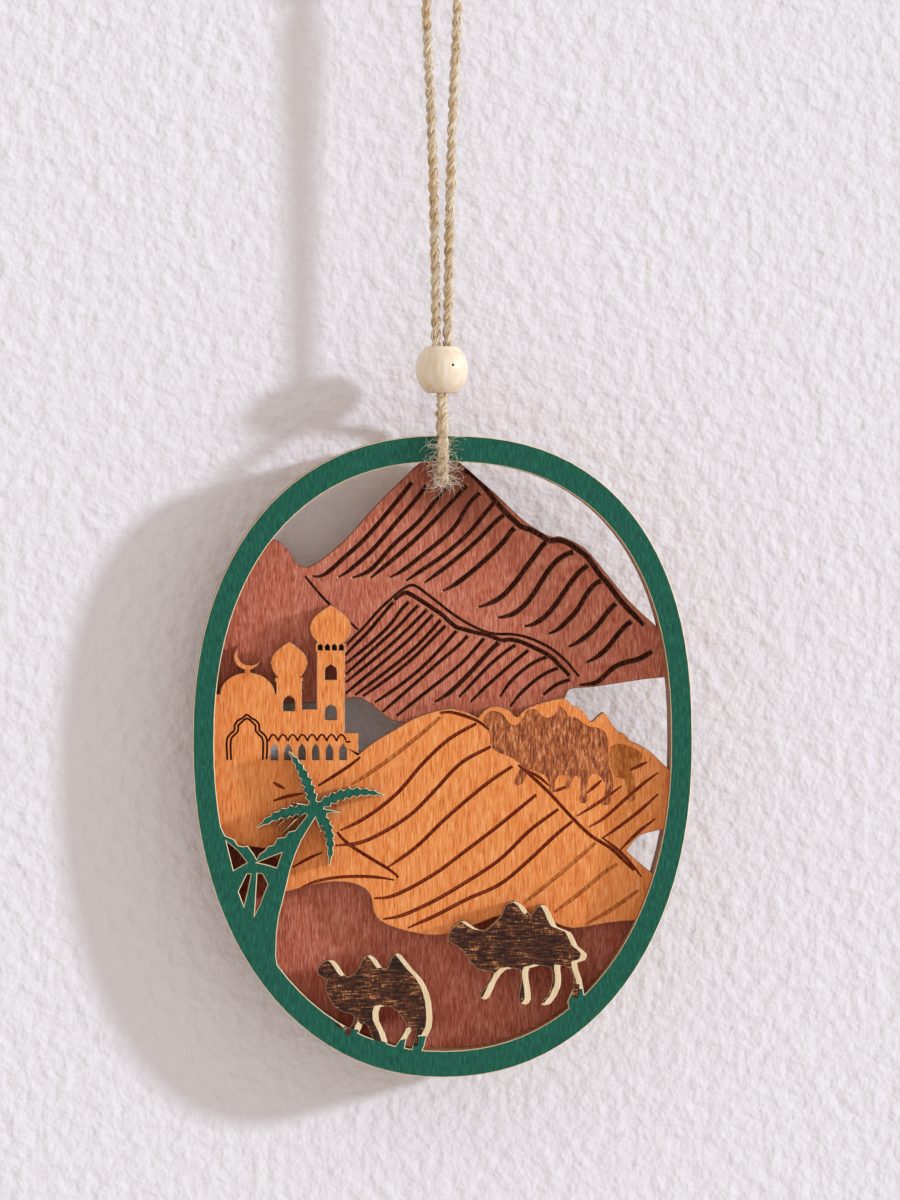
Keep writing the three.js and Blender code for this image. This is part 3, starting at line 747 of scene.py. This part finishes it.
def engrave(made, face, lines, finishes, width, depth, ends=(0.35, 1.0)):
    """Cuts grooves of a width and depth in millimetres into a sheet's face. Finishes are the walls' and the
    floor's. No line may cross another in the same cut, or the solvers can lose the whole sheet."""
    bm = bmesh.new()
    for line in lines:
        add_stroke(bm, [from_photo(*p) for p in line], width * MM, ends, face, depth * MM)
    bmesh.ops.recalc_face_normals(bm, faces=bm.faces)
    boolean(made, solid("strokes", bm, finishes), "DIFFERENCE")


def add_prism(bm, outline, low, high):
    """A closed prism with an outline of (x, z) places, from one depth to another."""
    near = [bm.verts.new((x, low, z)) for x, z in outline]
    far = [bm.verts.new((x, high, z)) for x, z in outline]
    bm.faces.new(near)
    bm.faces.new(far)
    for i in range(len(near)):
        bm.faces.new((near[i - 1], near[i], far[i], far[i - 1]))


def prism(outline, low, high, finish):
    bm = bmesh.new()
    add_prism(bm, outline, low, high)
    bmesh.ops.recalc_face_normals(bm, faces=bm.faces)
    return solid("prism", bm, [finish])


# Mountain engraving, in pixels of the photograph. The grooves start at their lower, thinner ends.

BIG_RIDGE = [
    (463, 469), (474, 475), (485, 486), (494, 497), (503, 508), (517, 522), (523, 527), (534, 531),
    (543, 536), (551, 541), (563, 541), (571, 544), (580, 550), (589, 557), (596, 566), (603, 576),
    (611, 585), (620, 597), (630, 609), (640, 619), (650, 630),
]
BIG_GROOVES = [
    [(311, 577), (321, 577), (331, 571), (343, 560), (365, 540), (386, 516), (405, 493), (415, 480)],
    [(337, 579), (346, 574), (361, 562), (374, 550), (398, 522), (417, 500), (430, 483)],
    [(351, 579), (361, 576), (372, 570), (395, 545), (420, 522), (440, 497), (452, 482)],
    [(370, 580), (381, 571), (408, 548), (432, 525), (455, 500), (468, 486), (472, 482)],
    [(389, 579), (401, 573), (426, 554), (451, 533), (460, 522), (465, 513), (474, 500), (484, 491)],
    [(405, 583), (420, 573), (445, 556), (471, 533), (489, 511), (498, 501)],
    [(424, 585), (451, 565), (478, 542), (500, 520), (508, 514)],
]
BIG_WIDE_GROOVES = [
    [(442, 593), (457, 585), (481, 566), (505, 543), (514, 531), (520, 526)],
    [(478, 609), (490, 605), (503, 598), (515, 586), (530, 566), (539, 554), (547, 544), (553, 541)],
    [(497, 619), (506, 618), (517, 614), (527, 606),
     (537, 593), (551, 571), (560, 561), (569, 555), (580, 552)],
    [(524, 628), (534, 626), (546, 619), (557, 607), (573, 584), (581, 574), (592, 565)],
    [(549, 636), (560, 631), (571, 621), (580, 611), (587, 599), (594, 589), (601, 583), (607, 582)],
    [(569, 649), (580, 644), (591, 636), (601, 626), (610, 614), (621, 602)],
    [(587, 665), (599, 659), (610, 650), (620, 637), (629, 627), (638, 620)],
    [(580, 687), (590, 686), (600, 684), (609, 676),
     (617, 669), (629, 664), (641, 661), (651, 656), (658, 651)],
]
FAR_CREASE = [(305, 576), (318, 592), (332, 607), (345, 618), (360, 632)]
SMALL_RIDGE_OUTSIDE = [
    (345, 648), (354, 639), (365, 628), (379, 612), (394, 598), (404, 590), (409, 587), (414, 586),
    (419, 588), (427, 594), (440, 604), (450, 612), (460, 619), (470, 625), (480, 630), (490, 634),
    (500, 635.5), (510, 635.5), (520, 636.5), (530, 639), (540, 643), (550, 648), (560, 655), (570, 664),
    (578, 674), (583, 679.5),
]
SMALL_RIDGE_INSIDE = [
    (394, 602), (400, 597), (407, 593.5), (413, 596), (418, 599), (426, 604), (434, 609.5), (443, 615.5),
    (450, 622), (458, 628.5), (467, 631), (477, 634), (488, 636), (496, 639), (504, 642), (510, 641),
    (518, 642), (526, 644.5), (536, 649), (546, 654), (554, 659), (561, 666), (568, 673), (575, 681.5),
]
SMALL_GROOVES = [
    [(345, 658), (352, 650), (370, 632), (380, 620), (391, 607), (397, 601)],
    [(345, 666), (371, 645), (391, 626), (403, 610), (413, 600)],
    [(345, 677), (376, 649), (402, 625), (411, 615), (421, 605)],
    [(345, 685), (384, 653), (409, 630), (420, 619), (430, 609)],
    [(345, 696), (386, 662), (414, 637), (430, 620), (437, 613)],
    [(354, 698), (386, 674), (413, 652), (429, 636), (443, 620)],
    [(362, 699), (389, 680), (417, 657), (434, 640), (448, 626)],
    [(374, 705), (394, 692), (422, 670), (440, 652), (459, 631)],
    [(382, 715), (413, 688), (440, 664), (461, 646), (472, 634)],
    [(396, 719), (422, 698), (450, 676), (467, 661), (488, 637)],
    [(459, 700), (470, 689), (490, 668), (509, 652), (520, 645)],
    [(471, 705), (485, 691), (505, 673), (525, 656), (533, 650)],
    [(501, 700), (512, 684), (530, 668), (540, 662), (551, 658)],
    [(511, 710), (522, 696), (540, 680), (550, 674), (562, 669)],
    [(544, 698), (558, 687), (566, 683.5), (574, 681)],
]
SMALL_WIDE_GROOVE = [(434, 705), (450, 695), (470, 676), (490, 654), (502, 642)]

# Dune engraving, in pixels of the photograph

DUNE_GROOVES = [
    [(340, 832), (364, 820), (397, 795), (424, 764), (450, 740), (480, 723)],
    [(335, 847), (360, 844), (379, 836), (411, 816), (437, 790), (462, 764), (493, 747)],
    [(388, 869), (416, 849), (443, 823), (468, 801), (493, 781), (516, 766)],
    [(374, 900), (388, 899), (404, 893), (436, 875), (463, 855), (501, 826), (529, 803), (539, 795)],
    [(383, 921), (400, 918), (434, 903), (465, 885), (501, 861), (531, 832), (562, 809)],
    [(408, 930), (437, 917), (468, 901), (501, 886), (529, 863), (559, 835), (575, 822)],
]
DUNE_FAINT_GROOVES = [
    [(351, 786), (364, 778), (394, 757), (425, 732), (442, 717)],
    [(524, 906), (555, 881), (582, 858), (598, 844)],
    [(555, 915), (584, 893), (608, 873), (621, 865)],
    [(587, 927), (616, 910), (641, 892)],
]
DUNE_CRESTS = [
    [(318, 787), (334, 777), (350, 766.5), (362, 757)],
    [(440, 714), (450, 713), (463, 716), (480, 723), (491, 732)],
    [(337, 833), (346, 843), (373, 861), (388, 870), (397, 877), (400, 881)],
    [(519, 766), (532, 777), (553, 797), (575, 821), (593, 838), (612, 850), (630, 867), (638, 875)],
]
DUNE_CREST_SHADOWS = [
    [(299, 890), (314, 883.5), (336, 879), (366, 878), (386, 880), (396, 882)],
    [(527, 771), (541, 779), (552, 789)],
    [(603, 839), (621, 853), (634, 867), (645, 881)],
    [(292, 869), (308, 860), (324, 853)],
]
FAR_DUNE_GROOVES = [
    [(590, 829), (604, 821), (628, 800), (648, 783), (662, 773)],
    [(604, 840), (616, 832), (641, 813), (661, 795)],
    [(621, 853), (639, 835), (658, 820)],
    [(578, 818), (602, 803), (624, 787)],
    [(588, 795), (604, 781)],
    [(555, 793), (571, 787)],
    [(631, 772), (650, 763)],
    [(273, 783), (280, 787), (286, 790)],
    [(273, 802), (285, 798), (305, 794)],
]

GATE_MIDDLE = 247
GATE_OUTSIDE = [
    (227.3, 761), (227.3, 739), (231, 734), (234.6, 731), (234.6, 726), (238, 721), (243, 718.5), (247, 715),
]
GATE_INSIDE = [(231, 761), (231.5, 739), (234.7, 735.5), (238.5, 731), (238, 727), (241.5, 723), (247, 719)]
SCALLOP = [(0, 742.5), (1.2, 739), (4.9, 735), (8.6, 739), (9.8, 742.5)]
SCALLOPS = 8
SCALLOPS_START = 268.5
SCALLOPS_PITCH = 9.75
SCALLOPS_END = [(345.5, 742.5), (349, 742.7), (352, 742.5)]


def gate(half):
    return half + [(2 * GATE_MIDDLE - x, y) for x, y in half[-2::-1]]


def scallop(i):
    return [(SCALLOPS_START + SCALLOPS_PITCH * i + x, y) for x, y in SCALLOP]


# Camels

FAR_CAMEL = [
    (484, 722), (487, 714.5), (493, 712), (501, 713.5), (506, 718), (511, 725), (518, 726), (524, 719),
    (529, 711), (538, 711), (542, 716), (549, 719), (556, 715.5), (560.5, 707.5), (566, 711), (571, 718),
    (578, 719), (584, 724), (592, 728), (599, 729), (606, 733), (609, 740), (610, 756), (611.5, 769),
    (614, 778), (615, 788), (612.5, 797), (611, 806), (603, 806), (605, 799), (607, 788), (604, 781),
    (597, 775), (590, 779), (588, 790), (588, 804), (581, 804), (582, 793), (581, 781), (577, 777),
    (573, 783), (570, 790), (564, 791), (567, 784), (566, 777), (560, 777), (556, 784), (555.5, 793),
    (551, 794), (550, 784), (546, 777), (539, 774), (531, 771), (527, 777), (525, 783), (519, 787),
    (514.5, 784), (518, 777), (521, 769), (517, 762), (508, 757), (500, 754), (494, 750), (491, 744),
    (491, 737), (488, 730),
]
FAINT_CAMEL = [
    (612, 749), (620, 745), (632, 748), (644, 756), (640, 766), (634, 772), (636, 782), (637, 801),
    (631, 804), (629, 792), (626, 781), (618, 779), (613, 770),
]
PRINT_SHIFT = Vector((-6, 1)) / PX_PER_MM * MM  # how far the laser's rows missed the cut camels
BARED = 0.04 * MM  # how deep the paint is taken off round the camels
BURNT = 0.08 * MM
CAMEL_ZONES = [
    [(306, 940), (445, 940), (445, 1037), (420, 1037), (404, 1040), (388, 1044), (372, 1038), (357, 1030),
     (345, 1030), (330, 1016)],
    [(440, 885), (600, 885), (600, 965), (590, 985), (584, 990), (572, 990), (566, 1008), (440, 1012)],
]
FEET = [
    [(354, 1020), (349, 1030), (346, 1037)],
    [(368, 1024), (374, 1034), (379, 1042)],
    [(403, 1024), (398, 1036), (391, 1046)],
    [(415, 1024), (415, 1036), (415, 1048)],
    [(577, 985), (576, 995), (574, 1002)],
]


def closed(outline):
    """A smooth closed line through places."""
    line = smooth([outline[-1], *outline, outline[0], outline[1]], 3)
    return line[3:-3][:-1]


# Palms: the fronds' ribs as in the part, in millimetres from the oval's middle, each with a bow and a tip

PALM_CROWN = (-20, -8.3)
FRONDS = [((-20.8, -3.2), (-24, 0.9)), ((-15.2, -4.2), (-9.1, -6)), ((-16.9, -10.2), (-17.7, -17)),
          ((-24.6, -7.7), (-29, -11))]
LEAFLETS = 15  # to each side of a rib
FIRST_LEAFLET = 3  # the ones nearer the crown have grown together
RIB_STEP = 0.05 * MM
LEAFLET_ROOT = 0.26 * MM
LEAFLET_SLANT = 1.1  # towards the tip, for one out from the rib
LEAFLET_REACH = 1.5 * MM
SLIT = 0.26 * MM  # width between two leaflets' tips


def part_leaflets(made):
    """Cuts narrow slits in from the fronds' edges, between their leaflets."""
    bm = bmesh.new()
    bm.from_mesh(made.data)
    bmesh.ops.triangulate(bm, faces=bm.faces)
    bm.to_mesh(made.data)
    bm.free()
    crown = on_panel(*PALM_CROWN)
    for side in (-1, 1):
        bm = bmesh.new()
        for bow_place, tip_place in FRONDS:
            bow = on_panel(*bow_place)
            tip = on_panel(*tip_place)
            knee = crown.lerp(bow, 0.5).lerp(bow.lerp(tip, 0.5), 0.5)
            rib = evenly(smooth([crown, knee, tip], 30), RIB_STEP)
            for i in range(FIRST_LEAFLET, LEAFLETS):
                spot = int(len(rib) * i / LEAFLETS)
                along = (rib[spot] - rib[spot - 1]).normalized()
                out = Vector((-along.y, along.x)) * side
                slant = (along * LEAFLET_SLANT + out).normalized()
                across = Vector((-slant.y, slant.x)) * SLIT / 2
                root = rib[spot] + out * LEAFLET_ROOT
                mouth = root + slant * LEAFLET_REACH
                add_prism(bm, [root, mouth - across, mouth + across], front_low.y - LIFT, front_high.y + LIFT)
        bmesh.ops.recalc_face_normals(bm, faces=bm.faces)
        boolean(made, solid("slits", bm, [cut_edge]), "DIFFERENCE", ("MANIFOLD", "EXACT"))


def print_camels(made):
    """Bares the camels to birch, and burns them dark a little to the left of where they were cut."""
    face = front_low.y
    for zone in CAMEL_ZONES:
        outline = [from_photo(*p) for p in zone]
        boolean(made, prism(outline, face - LIFT, face + BARED, birch), "DIFFERENCE")
        camel = solid("camel", cad_mesh("front_sheet"), [camel_burn])
        boolean(camel, prism(outline, face - SHEET, face + 2 * SHEET, camel_burn), "INTERSECT")
        for vertex in camel.data.vertices:
            near = vertex.co.y < face + SHEET / 2
            vertex.co.x += PRINT_SHIFT.x
            vertex.co.y = face - LIFT if near else face + BURNT
            vertex.co.z += PRINT_SHIFT.y
        boolean(made, camel, "DIFFERENCE")
    engrave(made, face, FEET, [camel_burn, camel_burn], width=1.1, depth=0.09, ends=(1.0, 0.8))


def make_front_sheet():
    # Its eased arrises take the pale bare birch: wood where the paint stops, and partly a painted highlight
    # along the edges.
    made = sheet("front_sheet", "ring_palms_and_camels", green_painted_plywood(), BACK, arris=0.11 * MM)
    part_leaflets(made)
    print_camels(made)
    stands_for(made, "front_sheet", "panel")


def make_middle_sheet():
    made = sheet("middle_sheet", "buildings_and_dunes", orange_stained_plywood(), EDGE, arris=0.09 * MM)
    face = middle_low.y
    line = burnt_line()
    faint = faint_burn()
    engrave(made, face, DUNE_GROOVES, [line, line], width=0.6, depth=0.3, ends=(0.5, 0.8))
    engrave(made, face, DUNE_FAINT_GROOVES, [faint, faint], width=0.65, depth=0.15, ends=(0.6, 0.8))
    engrave(made, face, DUNE_CRESTS, [line, line], width=0.55, depth=0.35, ends=(0.7, 0.7))
    engrave(made, face, DUNE_CREST_SHADOWS, [line, line], width=0.5, depth=0.3, ends=(0.5, 0.5))
    engrave(made, face, FAR_DUNE_GROOVES, [line, line], width=0.55, depth=0.2, ends=(0.5, 0.5))
    engrave(made, face, [gate(GATE_OUTSIDE)], [line, char], width=0.34, depth=0.3, ends=(1, 1))
    engrave(made, face, [gate(GATE_INSIDE)], [line, char], width=0.34, depth=0.3, ends=(1, 1))
    for first in (0, 1):  # every other one at a time, because neighbours meet
        scallops = [scallop(i) for i in range(first, SCALLOPS, 2)]
        engrave(made, face, scallops, [line, char], width=0.3, depth=0.3, ends=(1, 1))
    engrave(made, face, [SCALLOPS_END], [line, char], width=0.3, depth=0.3, ends=(1, 1))
    for outline, depth, finish in ((FAINT_CAMEL, 0.05, faint), (FAR_CAMEL, 0.09, far_camel_burn())):
        zone = closed([from_photo(*p) for p in outline])
        boolean(made, prism(zone, face - LIFT, face + depth * MM, finish), "DIFFERENCE")
    stands_for(made, "middle_sheet", "panel")


def make_rear_sheet():
    made = sheet("rear_sheet", "mountains_and_ground", brown_stained_plywood(), EDGE, arris=0.09 * MM)
    face = rear_low.y
    engrave(made, face, [BIG_RIDGE], [scorched, char], width=1.05, depth=0.7, ends=(0.8, 0.7))
    engrave(made, face, [SMALL_RIDGE_OUTSIDE], [scorched, char], width=0.55, depth=0.5, ends=(1.0, 0.8))
    engrave(made, face, [SMALL_RIDGE_INSIDE], [scorched, char], width=0.85, depth=0.7, ends=(0.8, 0.8))
    engrave(made, face, [FAR_CREASE], [scorched, char], width=0.5, depth=0.4, ends=(0.8, 0.8))
    engrave(made, face, BIG_GROOVES, [scorched, char], width=0.85, depth=0.7)
    engrave(made, face, BIG_WIDE_GROOVES, [scorched, char], width=1.0, depth=0.7)
    engrave(made, face, SMALL_GROOVES, [scorched, char], width=0.68, depth=0.6, ends=(0.6, 1.0))
    engrave(made, face, [SMALL_WIDE_GROOVE], [scorched, char], width=0.95, depth=0.6, ends=(0.4, 1.0))
    stands_for(made, "rear_sheet", "panel")


make_front_sheet()
make_middle_sheet()
make_rear_sheet()


# Wall and light

WALL_NEAR = 5.2 * MM  # where it is behind the panel's left edge, and it falls away to the right
WALL_TURN = math.radians(7)
PEEL = 2.3 * MM  # from one bump of the roller's texture to the next
WALL_SIDE = 0.6
WALL_FOOT = -0.6
WALL_TOP = 0.4
LIGHT_FROM = Vector((0.919, -0.306, 0.248))


def painted_wall():
    """Pale matt paint rolled on a wall, with the roller's orange peel. From behind it is clear."""
    made, tree, sockets = material("rolled_wall_paint", roughness=0.9, specular=0.1)
    place = add(tree, "TexCoord", out="Object")
    peel = add(tree, "TexNoise", {"Vector": place, "Scale": 1 / PEEL, "Detail": 2.0})
    add(tree, "ValToRGB", {"Fac": peel}, [(0.3, "#e9e3e8"), (0.7, "#ebe6ea")], to=sockets["Base Color"])
    add(tree, "Bump", {"Height": peel, "Distance": 0.6 * MM}, to=sockets["Normal"])
    side = add(tree, "NewGeometry", out="Backfacing")
    paint = tree.nodes["Principled BSDF"].outputs["BSDF"]
    clear = add(tree, "BsdfTransparent")
    surface = tree.nodes["Material Output"].inputs["Surface"]
    add(tree, "MixShader", {0: side, 1: paint, 2: clear}, to=surface)
    return made


def make_wall():
    bm = bmesh.new()
    corners = []
    for x, z in (
        (-WALL_SIDE, WALL_FOOT), (WALL_SIDE, WALL_FOOT), (WALL_SIDE, WALL_TOP), (-WALL_SIDE, WALL_TOP),
    ):
        corners.append(bm.verts.new((x, WALL_NEAR + (x - front_low.x) * math.tan(WALL_TURN), z)))
    bm.faces.new(corners)
    solid("wall", bm, [painted_wall()])


def make_light():
    key = bpy.data.lights.new("key", "SUN")
    key.energy = 2.6
    key.color = (0.78, 0.88, 1.0)
    key.angle = math.radians(5)
    lamp = bpy.data.objects.new("key", key)
    lamp.rotation_euler = LIGHT_FROM.to_track_quat("Z", "Y").to_euler()
    bpy.context.collection.objects.link(lamp)
    world = bpy.data.worlds.new("studio")
    world.use_nodes = True
    bpy.context.scene.world = world
    tree = world.node_tree
    seen = add(tree, "LightPath", out="Is Camera Ray")
    background = tree.nodes["Background"].inputs
    shades = {FACTOR: seen, FIRST: linear("#ddd8d2"), SECOND: linear("#e9e4e8")}
    add(tree, "Mix", shades, out=MIXED, to=background["Color"], data_type="RGBA")
    background["Strength"].default_value = 1.0


make_wall()
make_light()
bpy.context.scene.view_settings.view_transform = "Standard"
